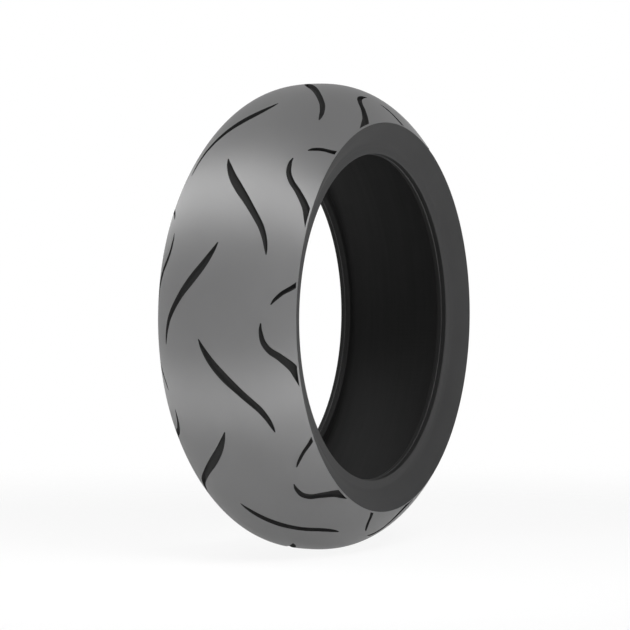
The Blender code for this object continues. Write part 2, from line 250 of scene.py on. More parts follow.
class StageSettings(bpy.types.PropertyGroup):
    """Camera, lamps and floor."""

    azimuth: plain_angle("Azimuth", "Camera angle round the tyre", -62.226)
    elevation: plain_angle("Elevation", "Camera angle above the axle", 1.358)
    distance: plain_length("Distance", "Camera to the middle of the tyre", 3.672)
    focal_length: FloatProperty(
        name="Focal length", description="Lens in millimetres", default=154.83, min=1, unit="CAMERA"
    )
    aim_right: plain_offset("Aim right", "Aim point right of the middle", -0.00897)
    aim_up: plain_offset("Aim up", "Aim point above the middle", 0.00192)
    floor_colour: plain_colour("Floor", "Pale floor", (0.86, 0.86, 0.86))
    floor_white: FloatProperty(
        name="Floor white",
        description="Share of plain white in the floor that the eye sees",
        default=0.9,
        min=0,
        max=1,
        subtype="FACTOR",
    )
    ground_light: plain_number("Ground light", "Brightness of the pale ground all round", 0.8)
    room_light: plain_number("Room light", "Brightness of the room above the ground", 0.1)
    key_power: plain_power("Key lamp", "Soft box high on the far side of the tread", 8.5)
    strip_power: plain_power("Strip lamp", "Long soft box with a grid above the front of the tread", 2.4)
    near_power: plain_power("Near lamp", "Soft box with a grid above the near side", 4.7)
    back_power: plain_power("Back lamp", "Soft box behind the tyre, on its far side", 8)
    table_power: plain_power("Table lamp", "Lit table in front of the tread", 2.4)
    side_table_power: plain_power("Side table lamp", "Lit table beside the sidewall", 8.4)


def section_place(point):
    """Where an (axial, radius) point lies before its section is turned."""
    return Vector((point[1], point[0], 0))


def towards(start, end, length):
    """Point at a distance from the start of a line."""
    return start + (end - start).normalized() * length


def rounded(points, reaches, steps=6):
    """Line whose inner corners are curves that start and end a reach away from the corner."""
    line = [points[0]]
    for before, corner, after, reach in zip(points, points[1:], points[2:], reaches):
        if not reach:
            line.append(corner)
            continue
        room = CORNER_ROOM * min((corner - before).length, (after - corner).length)
        start = towards(corner, before, min(reach, room))
        end = towards(corner, after, min(reach, room))
        handles = start.lerp(corner, CORNER_PULL), end.lerp(corner, CORNER_PULL)
        line += interpolate_bezier(start, *handles, end, steps)
    line.append(points[-1])
    return line


def mirrored(section, side):
    """Section of the left side, turned over for the right side."""
    return [Vector((side * point[0], point[1])) for point in section]


def cad_section(node):
    """Closed loop of (axial, radius) points of a solid ring, read where two of its facets meet."""
    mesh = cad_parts[node].data
    first = mesh.vertices[0].co
    corner = math.atan2(first.z, first.x)
    flat = {}
    for vertex in mesh.vertices:
        x, y, z = vertex.co
        if abs(math.atan2(z, x) - corner) < SAME_ANGLE:
            flat[vertex.index] = (round(y, 6), round(math.hypot(x, z), 6))
    beside = {}
    for edge in mesh.edges:
        one, other = (flat.get(index) for index in edge.vertices)
        if one and other and one != other:
            beside.setdefault(one, set()).add(other)
            beside.setdefault(other, set()).add(one)
    loop = [next(iter(beside))]
    following = min(beside[loop[0]])
    while following != loop[0]:
        loop.append(following)
        following = next(point for point in beside[following] if point != loop[-2])
    if len(loop) != len(beside):
        raise RuntimeError(f"the section of {node} is not one loop")
    return [Vector(point) for point in loop]


def distance_to_line(point, line):
    """Shortest distance from a point to a line of points."""
    best = math.inf
    for start, end in zip(line, line[1:]):
        foot, share = intersect_point_line(point, start, end)
        if share < 0:
            foot = start.to_3d()
        if share > 1:
            foot = end.to_3d()
        best = min(best, (foot.to_2d() - point).length)
    return best


def inner_chain(node, outer, skin=0.001):
    """Points of a solid's section under its outer line, in order from that line's end to its start."""
    loop = cad_section(node)
    under = [distance_to_line(point, outer) > skin for point in loop]
    count = len(loop)
    start = next(i for i in range(count) if under[i] and not under[i - 1])
    chain = []
    for i in range(start, start + count):
        if not under[i % count]:
            break
        chain.append(loop[i % count])
    if (chain[0] - outer[-1]).length > (chain[-1] - outer[-1]).length:
        chain.reverse()
    return chain


def begin_piece(name, point):
    """New mesh object at the origin, in edit mode, with one selected vertex at a point."""
    bpy.ops.object.select_all(action="DESELECT")
    bpy.ops.mesh.primitive_plane_add(size=STARTER_SIZE, location=ORIGIN)
    piece = bpy.context.active_object
    piece.name = name
    piece.data.name = name
    bpy.ops.object.mode_set(mode="EDIT")
    bpy.ops.mesh.select_all(action="SELECT")
    bpy.ops.mesh.merge(type="CENTER")
    bpy.ops.transform.translate(value=point)
    return piece


def draw_loop(piece, points):
    """Draw a closed loop of edges onwards from the one vertex of a new piece."""
    for near, far in zip(points, points[1:]):
        bpy.ops.mesh.extrude_region_move(TRANSFORM_OT_translate={"value": far - near})
    mesh = bmesh.from_edit_mesh(piece.data)
    mesh.verts.ensure_lookup_table()
    bpy.ops.mesh.select_all(action="DESELECT")
    mesh.verts[0].select_set(True)
    mesh.verts[-1].select_set(True)
    bpy.ops.mesh.edge_face_add()
    bpy.ops.mesh.select_all(action="SELECT")


def close_shell():
    """Merge what meets and point all faces outwards, then leave edit mode."""
    bpy.ops.mesh.select_all(action="SELECT")
    bpy.ops.mesh.remove_doubles(threshold=MERGE)
    bpy.ops.mesh.normals_make_consistent(inside=False)
    bpy.ops.object.mode_set(mode="OBJECT")


def turned_ring(name, section, steps):
    """Ring made by drawing a section and spinning it once round the axle."""
    points = [section_place(point) for point in section]
    piece = begin_piece(name, points[0])
    draw_loop(piece, points)
    bpy.ops.mesh.spin(steps=steps, angle=math.tau, center=ORIGIN, axis=AXLE)
    close_shell()
    return piece


def lofted_solid(name, rings):
    """Closed solid that is drawn as its first ring and extruded from ring to ring."""
    piece = begin_piece(name, rings[0][0])
    draw_loop(piece, rings[0])
    bpy.ops.mesh.edge_face_add()
    for last, ring in zip(rings, rings[1:]):
        bpy.ops.mesh.extrude_region_move()
        mesh = bmesh.from_edit_mesh(piece.data)
        for vertex in [vertex for vertex in mesh.verts if vertex.select]:
            nearest = min(range(len(last)), key=lambda i: (last[i] - vertex.co).length_squared)
            vertex.co = ring[nearest]
        bmesh.update_edit_mesh(piece.data)
    return piece


def finish_piece(piece, node, slot, *materials):
    """Smooth a piece, give it its materials and let it stand for its solid."""
    bpy.ops.object.select_all(action="DESELECT")
    piece.select_set(True)
    bpy.context.view_layer.objects.active = piece
    for material in materials:
        if material.name not in piece.data.materials:
            piece.data.materials.append(material)
    bpy.ops.object.shade_smooth_by_angle(angle=SMOOTH_ANGLE)
    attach(piece, BODY)
    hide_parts(node)


def crown_point(sizes, axial, depth=0.0):
    """Point of the tread's section at a depth under its surface."""
    share = abs(axial) / sizes.tread_half
    radius = sizes.crown_radius - sizes.crown_drop * share ** sizes.crown_power
    return Vector((axial, radius)) - depth * crown_normal(sizes, axial)


def crown_normal(sizes, axial):
    """Direction square to the tread's section."""
    share = abs(axial) / sizes.tread_half
    steepness = sizes.crown_drop * sizes.crown_power / sizes.tread_half * share ** (sizes.crown_power - 1)
    return Vector((math.copysign(steepness, axial), 1)).normalized()


def tread_section(sizes, start, end, stations):
    """Section of a tread strip between two distances from the middle, with fine steps at its borders."""
    axials = [start + (end - start) * i / stations for i in range(stations + 1)]
    axials.insert(1, start + TREAD_LIP)
    axials.insert(-1, end - TREAD_LIP)
    outer = [crown_point(sizes, axial) for axial in axials]
    under = [*axials[::INNER_STRIDE], end]
    inner = [crown_point(sizes, axial, sizes.tread_thickness) for axial in reversed(under)]
    if end >= sizes.tread_half:
        edge = rounded([outer[-3], outer[-1], inner[0]], [sizes.tread_edge_round], steps=4)
        outer = outer[:-2] + edge[1:-1]
    return outer + inner


def groove_stations(route, steps=5):
    """Smooth run of (radians, axial, width) stations through a groove's points."""
    points = [Vector((math.radians(turn) * GROOVE_GAUGE, axial, width)) for turn, axial, width in route]
    slopes = []
    for i in range(len(points)):
        before = points[max(i - 1, 0)]
        after = points[min(i + 1, len(points) - 1)]
        slopes.append((after - before).normalized())
    stations = []
    for i in range(len(points) - 1):
        reach = (points[i + 1] - points[i]).length / 3
        handles = points[i] + slopes[i] * reach, points[i + 1] - slopes[i + 1] * reach
        stations += interpolate_bezier(points[i], *handles, points[i + 1], steps + 1)[:-1]
    stations.append(points[-1])
    return [(station[0] / GROOVE_GAUGE, station[1], station[2]) for station in stations]


def on_tread(sizes, turn, axial):
    """Place on the tread surface, and the direction square to it there."""
    spoke = Vector((math.cos(turn), 0, math.sin(turn)))
    point = crown_point(sizes, axial)
    normal = crown_normal(sizes, axial)
    return (
        spoke * point.y + Vector((0, point.x, 0)),
        spoke * normal.y + Vector((0, normal.x, 0)),
    )


def groove_outline(sizes, width):
    """Half outline of a groove as (across, height) points from above the tread to the floor."""
    lean = math.tan(sizes.groove_draft)
    depth = sizes.groove_depth * math.sqrt(min(1, width / sizes.groove_full_width))
    foot = min(sizes.groove_foot_round, FOOT_LIMIT * width)
    wall = width / 2 - min((depth - foot) * lean, LEAN_LIMIT * width)
    return [
        (width / 2 + CUTTER_RISE * lean, CUTTER_RISE),
        (wall, foot - depth),
        (wall - ARC_MIDDLE * foot, ARC_MIDDLE * foot - depth),
        (wall - foot, -depth),
    ]


def groove_solid(name, sizes, route):
    """Solid that cuts one groove out of the tread, ended by a straight face near the tread edge."""
    stations = groove_stations(route)
    places = [on_tread(sizes, turn, -axial) for turn, axial, width in stations]
    rings = []
    for i, (place, normal) in enumerate(places):
        along = places[min(i + 1, len(places) - 1)][0] - places[max(i - 1, 0)][0]
        across = normal.cross(along).normalized()
        outline = groove_outline(sizes, stations[i][2])
        ring = [place + across * x + normal * y for x, y in outline]
        ring += [place - across * x + normal * y for x, y in reversed(outline)]
        rings.append(ring)
    piece = lofted_solid(name, rings)
    bpy.ops.mesh.select_all(action="SELECT")
    limit = (0, sizes.groove_margin - sizes.tread_half, 0)
    bpy.ops.mesh.bisect(plane_co=limit, plane_no=AXLE, use_fill=True, clear_inner=True)
    close_shell()
    return piece


def groove_cutter(sizes, material):
    """One mesh of all grooves: three are modelled, copied round the right half and mirrored to the left."""
    routes = {"long_groove": LONG_GROOVE, "shoulder_groove": SHOULDER_GROOVE, "short_groove": SHORT_GROOVE}
    solids = [groove_solid(name, sizes, route) for name, route in routes.items()]
    bpy.ops.object.select_all(action="DESELECT")
    for solid in solids:
        solid.select_set(True)
    cutter = solids[0]
    bpy.context.view_layer.objects.active = cutter
    bpy.ops.object.join()
    cutter.name = "groove_cutter"
    cutter.data.materials.append(material)
    pitch = math.tau / sizes.pitches
    bpy.ops.object.mode_set(mode="EDIT")
    bpy.ops.mesh.select_all(action="SELECT")
    bpy.ops.mesh.spin(
        steps=sizes.pitches - 1, dupli=True, angle=math.tau - pitch, center=ORIGIN, axis=AXLE
    )
    bpy.ops.mesh.select_all(action="SELECT")
    bpy.ops.mesh.duplicate()
    bpy.ops.transform.resize(value=(1, -1, 1), center_override=ORIGIN)
    bpy.ops.transform.rotate(value=pitch / 2, orient_axis="Y", center_override=ORIGIN)
    close_shell()
    return cutter


def cut_grooves(piece, cutter):
    """Take the groove solids out of a tread strip."""
    bpy.ops.object.select_all(action="DESELECT")
    piece.select_set(True)
    bpy.context.view_layer.objects.active = piece
    cut = piece.modifiers.new("grooves", "BOOLEAN")
    cut.operation = "DIFFERENCE"
    cut.solver = "EXACT"
    cut.object = cutter
    cut.material_mode = "TRANSFER"
    bpy.ops.object.modifier_apply(modifier=cut.name)


def side_outline(sizes):
    """Outer line of the left side from tread edge to toe, and the places where it is parted or painted."""
    edge = crown_point(sizes, sizes.tread_half)
    flange = Vector((sizes.bead_offset, sizes.flange_radius))
    square = Vector((edge.y - flange.y, flange.x - edge.x)).normalized()
    middle = edge.lerp(flange, 0.5) + square * sizes.sidewall_bulge
    heel_top = Vector((sizes.bead_offset, sizes.seat_radius + sizes.heel_chamfer))
    heel_foot = Vector((sizes.bead_offset - sizes.heel_chamfer, sizes.seat_radius))
    run = sizes.seat_width - sizes.heel_chamfer
    seat_end = heel_foot + Vector((-run, -run * math.tan(sizes.seat_taper)))
    toe = seat_end + Vector((-sizes.toe_width, sizes.toe_width * math.tan(sizes.toe_bevel)))
    toe_top = Vector((toe.x, max(point.y for point in cad_section("toe_strip_left"))))
    slope = (seat_end - heel_foot).normalized()
    out = Vector((slope.y, -slope.x))
    half = slope * sizes.flash_width / 2
    foot = heel_foot + slope * (sizes.flash_place - sizes.heel_chamfer)
    flash = [foot - half, foot + out * sizes.flash_height, foot + half]
    # Each corner with the reach of its rounding.
    route = (
        (edge, 0),
        (middle, 0.012),
        (flange, 0.005),
        (heel_top, 0.0008),
        (heel_foot, 0.0006),
        (flash[0], 0),
        (flash[1], 0.0004),
        (flash[2], 0),
        (seat_end, 0.0010),
        (toe, 0.0010),
        (toe_top, 0),
    )
    line = rounded([corner for corner, reach in route], [reach for corner, reach in route[1:-1]])
    return line, {"flange": flange, "flash": flash, "seat_end": seat_end}


def nearest_index(line, point):
    """Index of the point of a line that lies nearest to a place."""
    return min(range(len(line)), key=lambda i: (line[i] - point).length)


def paint_bead(piece, sizes, flash_line):
    """Let the bead's face, its seat and its flash line have the first, second and third material."""
    face, seat, flash = range(3)
    heel_end = sizes.bead_offset - FACE_SHARE * sizes.heel_chamfer
    for polygon in piece.data.polygons:
        x, y, z = polygon.center
        place = Vector((abs(y), math.hypot(x, z)))
        # Seats are painted dark as shade; the face and the flash line keep their own colours.
        polygon.material_index = seat
        if place.x > heel_end:
            polygon.material_index = face
        elif distance_to_line(place, flash_line) < FLASH_SKIN * sizes.flash_height:
            polygon.material_index = flash


class TYRE_OT_tread(bpy.types.Operator):
    """Turn the three tread strips and cut their grooves."""

    bl_idname = "tyre.tread"
    bl_label = "Tread strips"

    def execute(self, context):
        sizes = context.scene.tyre_sizes
        rubber = tread_finish(context.scene.tyre_colours)
        # The grooves' finish is darkened as painted shade.
        dark = groove_painted_shade_finish(context.scene.tyre_colours)
        cutter = groove_cutter(sizes, dark)
        middle = tread_section(sizes, -sizes.tread_seam, sizes.tread_seam, CENTRE_STATIONS)
        strips = {"tread_centre": middle}
        shoulder = tread_section(sizes, sizes.tread_seam, sizes.tread_half, SHOULDER_STATIONS)
        for side, sign in SIDES.items():
            strips[f"tread_shoulder_{side}"] = mirrored(shoulder, sign)
        for node, section in strips.items():
            piece = turned_ring(f"fine_{node}", section, TREAD_STEPS)
            piece.data.materials.append(rubber)
            cut_grooves(piece, cutter)
            finish_piece(piece, node, "tread_rubber", rubber, dark)
        bpy.data.objects.remove(cutter)
        return {"FINISHED"}


class TYRE_OT_sides(bpy.types.Operator):
    """Turn the sidewalls, the chafers with their flash lines and their painted-shade seats, and the toe
    strips in the same painted shade.
    """

    bl_idname = "tyre.sides"
    bl_label = "Sidewalls and beads"

    def execute(self, context):
        sizes = context.scene.tyre_sizes
        colours = context.scene.tyre_colours
        wall = side_finish(colours)
        face = bead_finish(colours)
        # The seat finish is darkened as painted shade, on the chafers' seats and on the toe strips.
        seat = seat_painted_shade_finish(colours)
        flash = flash_finish(colours)
        line, places = side_outline(sizes)
        flange = nearest_index(line, places["flange"])
        seat_end = nearest_index(line, places["seat_end"])
        parts = (
            ("sidewall", line[: flange + 1], "side_rubber", wall),
            ("chafer", line[flange : seat_end + 1], "bead_rubber", face, seat, flash),
            ("toe_strip", line[seat_end:], "bead_rubber", seat),
        )
        for name, outer, slot, *materials in parts:
            section = outer + inner_chain(f"{name}_left", outer)
            for side, sign in SIDES.items():
                piece = turned_ring(f"fine_{name}_{side}", mirrored(section, sign), SIDE_STEPS)
                finish_piece(piece, f"{name}_{side}", slot, *materials)
                if name == "chafer":
                    paint_bead(piece, sizes, places["flash"])
        return {"FINISHED"}


class TYRE_OT_liner(bpy.types.Operator):
    """Turn the air-tight liner, with the corners of its solid drawn as curves."""

    bl_idname = "tyre.liner"
    bl_label = "Inner liner"

    def execute(self, context):
        loop = cad_section("inner_liner")
        # The two shortest edges are the liner's ends, which part its outer face from its inner one.
        lengths = [(loop[i] - loop[i - 1]).length for i in range(len(loop))]
        ends = sorted(sorted(range(len(loop)), key=lambda i: lengths[i])[:2])
        one = loop[ends[0] : ends[1]]
        other = loop[ends[1] :] + loop[: ends[0]]
        section = []
        for chain in (one, other):
            section += rounded(chain, [FULL_REACH] * len(chain), steps=8)
        piece = turned_ring("fine_inner_liner", section, LINER_STEPS)
        finish_piece(piece, "inner_liner", "liner_rubber", liner_finish(context.scene.tyre_colours))
        return {"FINISHED"}


class TYRE_OT_layers(bpy.types.Operator):
    """Turn the hidden layers, the bead hoops and their fillers again in fine steps."""

    bl_idname = "tyre.layers"
    bl_label = "Hidden layers"

    def execute(self, context):
        colours = context.scene.tyre_colours
        fabric = cord_finish(colours)
        rubber = base_finish(colours)
        layers = {
            "undertread": ("base_rubber", rubber),
            "zero_degree_belt": ("belt_cord", belt_finish(colours)),
            "breaker_ply": ("ply_cord", fabric),
            "carcass_ply": ("ply_cord", fabric),
        }
        wire = wire_finish(colours)
        for side in SIDES:
            layers[f"belt_edge_strip_{side}"] = ("base_rubber", rubber)
            layers[f"bead_filler_{side}"] = ("base_rubber", rubber)
            layers[f"bead_wrap_{side}"] = ("ply_cord", fabric)
            layers[f"bead_core_{side}"] = ("bead_wire", wire)
        for node, (slot, material) in layers.items():
            piece = turned_ring(f"fine_{node}", cad_section(node), LAYER_STEPS)
            finish_piece(piece, node, slot, material)
        return {"FINISHED"}


def add_node(tree, kind, inputs=None, **settings):
    """Add a shader node, set its options and fill or link its sockets."""
    node = tree.nodes.new(kind)
    for key, value in settings.items():
        setattr(node, key, value)
    for key, value in (inputs or {}).items():
        if isinstance(value, bpy.types.NodeSocket):
            tree.links.new(value, node.inputs[key])
        else:
            node.inputs[key].default_value = value
    return node


def new_finish(name, specular=0.5):
    """New material with its node tree, its shader and a point's place along, from and round the axle."""
    material = bpy.data.materials.new(name)
    material.use_nodes = True
    tree = material.node_tree
    shader = tree.nodes["Principled BSDF"]
    shader.inputs["Specular IOR Level"].default_value = specular
    place = add_node(tree, "ShaderNodeTexCoord").outputs["Object"]
    split = add_node(tree, "ShaderNodeSeparateXYZ", {0: place})
    flat = add_node(tree, "ShaderNodeVectorMath", {0: place, 1: (1, 0, 1)}, operation="MULTIPLY")
    radius = add_node(tree, "ShaderNodeVectorMath", {0: flat.outputs["Vector"]}, operation="LENGTH")
    angle = add_node(
        tree, "ShaderNodeMath", {0: split.outputs["Z"], 1: split.outputs["X"]}, operation="ARCTAN2"
    )
    where = {
        "place": place,
        "axial": split.outputs["Y"],
        "radius": radius.outputs["Value"],
        "angle": angle.outputs["Value"],
    }
    return material, tree, shader, where


def math_node(tree, operation, one, other=0.0):
    """Result of a sum on one or two numbers."""
    return add_node(tree, "ShaderNodeMath", {0: one, 1: other}, operation=operation).outputs["Value"]


def noise(tree, vector, scale, detail):
    """Soft random value between 0 and 1."""
    node = add_node(tree, "ShaderNodeTexNoise", {"Vector": vector, "Scale": scale, "Detail": detail})
    return node.outputs["Fac"]


def waves(tree, number, rate):
    """Even waves between 0 and 1 along a number."""
    scaled = math_node(tree, "MULTIPLY", number, rate)
    sine = math_node(tree, "SINE", scaled)
    half = math_node(tree, "MULTIPLY", sine, 0.5)
    return math_node(tree, "ADD", half, 0.5)


def ridges_round(tree, where, count):
    """A count of even ridges side by side round the axle."""
    return waves(tree, where["angle"], count)


def ridges_along(tree, distance, pitch):
    """Even ridges one pitch apart along a distance."""
    return waves(tree, distance, math.tau / pitch)


def turning_lines(tree, number, place, pitch):
    """Fine uneven lines that run round the axle, closer together the smaller their pitch."""
    across = math_node(tree, "MULTIPLY", number, 1 / pitch)
    drift = (LINE_DRIFT, 0, LINE_DRIFT)
    around = add_node(tree, "ShaderNodeVectorMath", {0: place, 1: drift}, operation="MULTIPLY")
    lifted = add_node(tree, "ShaderNodeCombineXYZ", {"Y": across})
    parts = {0: around.outputs["Vector"], 1: lifted.outputs["Vector"]}
    vector = add_node(tree, "ShaderNodeVectorMath", parts, operation="ADD")
    return noise(tree, vector.outputs["Vector"], scale=1, detail=2)


def shade(tree, factor, colour, spread):
    """Colour that is darker where a factor is 0 and lighter where it is 1."""
    ramp = add_node(tree, "ShaderNodeValToRGB", {"Fac": factor})
    ramp.color_ramp.elements[0].position = SHADE_FROM
    ramp.color_ramp.elements[1].position = SHADE_TO
    ramp.color_ramp.elements[0].color = (*[part * (1 - spread) for part in colour], 1)
    ramp.color_ramp.elements[1].color = (*[part * (1 + spread) for part in colour], 1)
    return ramp.outputs["Color"]


def between(tree, factor, low, high):
    """Number that goes from low to high as a factor goes from 0 to 1."""
    node = add_node(tree, "ShaderNodeMapRange", {"Value": factor, "To Min": low, "To Max": high})
    return node.outputs["Result"]


def bump(tree, height, distance, strength, under=None):
    """Normal of a relief, laid over another one."""
    inputs = {"Height": height, "Distance": distance, "Strength": strength}
    if under:
        inputs["Normal"] = under
    return add_node(tree, "ShaderNodeBump", inputs).outputs["Normal"]


def connect(tree, shader, colour, roughness, normal):
    """Feed a shader with its colour, roughness and relief."""
    tree.links.new(colour, shader.inputs["Base Color"])
    tree.links.new(roughness, shader.inputs["Roughness"])
    tree.links.new(normal, shader.inputs["Normal"])


def stretch_sheen(tree, shader):
    """Stretch the sheen across the tread, as the fine lines of a turned mould do."""
    around = add_node(tree, "ShaderNodeTangent", direction_type="RADIAL", axis="Y")
    tree.links.new(around.outputs["Tangent"], shader.inputs["Tangent"])
    shader.inputs["Anisotropic"].default_value = 1.0
    shader.inputs["Anisotropic Rotation"].default_value = 0.25


def tread_finish(colours):
    """Matte moulded tread rubber with fine grain and faint lines from the turned mould."""
    material, tree, shader, where = new_finish("tread_surface", specular=1.0)
    stretch_sheen(tree, shader)
    shader.inputs["IOR"].default_value = 1.8
    patches = noise(tree, where["place"], scale=14, detail=4)
    grain = noise(tree, where["place"], scale=900, detail=2)
    lines = turning_lines(tree, where["axial"], where["place"], pitch=0.0016)
    relief = bump(tree, lines, distance=0.00006, strength=0.5)
    relief = bump(tree, grain, distance=0.00010, strength=0.5, under=relief)
    colour = shade(tree, patches, colours.tread, spread=0.05)
    connect(tree, shader, colour, between(tree, patches, low=0.71, high=0.77), relief)
    return material


def groove_painted_shade_finish(colours):
    """Dull rubber of the groove walls and floors, darkened as painted shade in the grooves."""
    material, tree, shader, where = new_finish("groove_surface", specular=0.2)
    grain = noise(tree, where["place"], scale=700, detail=2)
    relief = bump(tree, grain, distance=0.0001, strength=0.4)
    colour = shade(tree, grain, colours.groove, spread=0.10)
    connect(tree, shader, colour, between(tree, grain, low=0.85, high=0.95), relief)
    return material


def side_finish(colours):
    """Satin moulded side rubber with fine rings round the axle."""
    material, tree, shader, where = new_finish("sidewall_surface", specular=0.2)
    patches = noise(tree, where["place"], scale=11, detail=4)
    lines = turning_lines(tree, where["radius"], where["place"], pitch=0.0011)
    grain = noise(tree, where["place"], scale=1100, detail=2)
    relief = bump(tree, lines, distance=0.00008, strength=0.6)
    relief = bump(tree, grain, distance=0.00006, strength=0.4, under=relief)
    colour = shade(tree, patches, colours.side, spread=0.06)
    connect(tree, shader, colour, between(tree, lines, low=0.78, high=0.86), relief)
    return material


def bead_finish(colours):
    """Hard satin rubber with the faint print of a woven strip."""
    material, tree, shader, where = new_finish("bead_surface", specular=0.25)
    across = ridges_along(tree, where["axial"], pitch=0.0012)
    weave = math_node(tree, "MULTIPLY", across, ridges_round(tree, where, count=1140))
    patches = noise(tree, where["place"], scale=18, detail=4)
    grain = noise(tree, where["place"], scale=1000, detail=2)
    relief = bump(tree, weave, distance=0.00005, strength=0.4)
    relief = bump(tree, grain, distance=0.00005, strength=0.4, under=relief)
    colour = shade(tree, patches, colours.bead, spread=0.07)
    connect(tree, shader, colour, between(tree, patches, low=0.66, high=0.74), relief)
    return material


def seat_painted_shade_finish(colours):
    """Smooth rubber of the bead seats and toes, darkened as painted shade in the bead's bore."""
    material, tree, shader, where = new_finish("seat_surface", specular=0.15)
    patches = noise(tree, where["place"], scale=30, detail=4)
    grain = noise(tree, where["place"], scale=900, detail=2)
    relief = bump(tree, grain, distance=0.00005, strength=0.4)
    colour = shade(tree, patches, colours.seat, spread=0.12)
    connect(tree, shader, colour, between(tree, patches, low=0.55, high=0.68), relief)
    return material


def flash_finish(colours):
    """Thin moulded rubber of the flash line, a little shinier than the rest."""
    material, tree, shader, where = new_finish("flash_surface", specular=0.3)
    ripple = noise(tree, where["place"], scale=90, detail=3)
    relief = bump(tree, ripple, distance=0.0002, strength=0.4)
    colour = shade(tree, ripple, colours.flash, spread=0.30)
    connect(tree, shader, colour, between(tree, ripple, low=0.40, high=0.55), relief)
    return material


def liner_finish(colours):
    """Dull black liner with soft streaks round the axle and the shallow ribs of a curing bladder."""
    material, tree, shader, where = new_finish("liner_surface", specular=0.3)
    streaks = turning_lines(tree, where["axial"], where["place"], pitch=0.006)
    grain = noise(tree, where["place"], scale=600, detail=2)
    relief = bump(tree, ridges_round(tree, where, count=320), distance=0.00012, strength=0.25)
    relief = bump(tree, grain, distance=0.0001, strength=0.4, under=relief)
    colour = shade(tree, streaks, colours.liner, spread=0.25)
    connect(tree, shader, colour, between(tree, streaks, low=0.66, high=0.82), relief)
    return material


def base_finish(colours):
    """Dull uncoated rubber of the hidden layers."""
    material, tree, shader, where = new_finish("base_surface")
    patches = noise(tree, where["place"], scale=40, detail=5)
    grain = noise(tree, where["place"], scale=800, detail=2)
    relief = bump(tree, grain, distance=0.0001, strength=0.5)
    colour = shade(tree, patches, colours.base, spread=0.12)
    connect(tree, shader, colour, between(tree, patches, low=0.62, high=0.8), relief)
    return material


def cord_finish(colours):
    """Rubbered fabric with its cords side by side across the tyre."""
    material, tree, shader, where = new_finish("cord_surface")
    cords = ridges_round(tree, where, count=1200)
    twist = ridges_along(tree, where["axial"], pitch=0.0009)
    fibre = noise(tree, where["place"], scale=1300, detail=2)
    relief = bump(tree, cords, distance=0.0002, strength=0.8)
    relief = bump(tree, twist, distance=0.00005, strength=0.4, under=relief)
    colour = shade(tree, math_node(tree, "MULTIPLY", cords, fibre), colours.cord, spread=0.35)
    connect(tree, shader, colour, between(tree, fibre, low=0.5, high=0.75), relief)
    return material


def belt_finish(colours):
    """Brass-plated steel cords wound round the crown, set in rubber."""
    material, tree, shader, where = new_finish("belt_surface")
    shader.inputs["Metallic"].default_value = 0.6
    cords = ridges_along(tree, where["axial"], pitch=0.0014)
    strands = ridges_round(tree, where, count=1500)
    relief = bump(tree, cords, distance=0.0003, strength=0.8)
    relief = bump(tree, strands, distance=0.00006, strength=0.4, under=relief)
    colour = shade(tree, cords, colours.belt, spread=0.45)
    connect(tree, shader, colour, between(tree, strands, low=0.32, high=0.5), relief)
    return material


def wire_finish(colours):
    """Bundle of drawn steel wires round the bead."""
    material, tree, shader, where = new_finish("wire_surface")
    shader.inputs["Metallic"].default_value = 0.9
    rows = ridges_along(tree, where["axial"], pitch=0.0010)
    layers = ridges_along(tree, where["radius"], pitch=0.0010)
    wires = math_node(tree, "MULTIPLY", rows, layers)
    drawn = noise(tree, where["place"], scale=500, detail=3)
    relief = bump(tree, wires, distance=0.0003, strength=0.8)
    colour = shade(tree, wires, colours.wire, spread=0.3)
    connect(tree, shader, colour, between(tree, drawn, low=0.28, high=0.42), relief)
    return material


def background_share(tree):
    """1 for rays that show the background: to the camera, off gloss and through clear things."""
    rays = add_node(tree, "ShaderNodeLightPath")
    shown = math_node(tree, "MAXIMUM", rays.outputs["Is Camera Ray"], rays.outputs["Is Glossy Ray"])
    return math_node(tree, "MAXIMUM", shown, rays.outputs["Is Transmission Ray"])


def studio_world(settings):
    """Room that is white for the eye, and lights the object from its pale ground more than from above."""
    world = bpy.data.worlds.new("studio_room")
    world.use_nodes = True
    tree = world.node_tree
    tree.nodes.clear()
    direction = add_node(tree, "ShaderNodeTexCoord").outputs["Generated"]
    height = add_node(tree, "ShaderNodeSeparateXYZ", {0: direction}).outputs["Z"]
    level = add_node(
        tree,
        "ShaderNodeMapRange",
        {
            "Value": height,
            "From Min": -HORIZON_BLUR,
            "From Max": HORIZON_BLUR,
            "To Min": settings.ground_light,
            "To Max": settings.room_light,
        },
    )
    light = add_node(tree, "ShaderNodeBackground", {"Color": WHITE, "Strength": level.outputs["Result"]})
    white = add_node(tree, "ShaderNodeBackground", {"Color": WHITE, "Strength": 1.0})
    mix = add_node(
        tree,
        "ShaderNodeMixShader",
        {0: background_share(tree), 1: light.outputs["Background"], 2: white.outputs["Background"]},
    )
    add_node(tree, "ShaderNodeOutputWorld", {"Surface": mix.outputs["Shader"]})
    return world


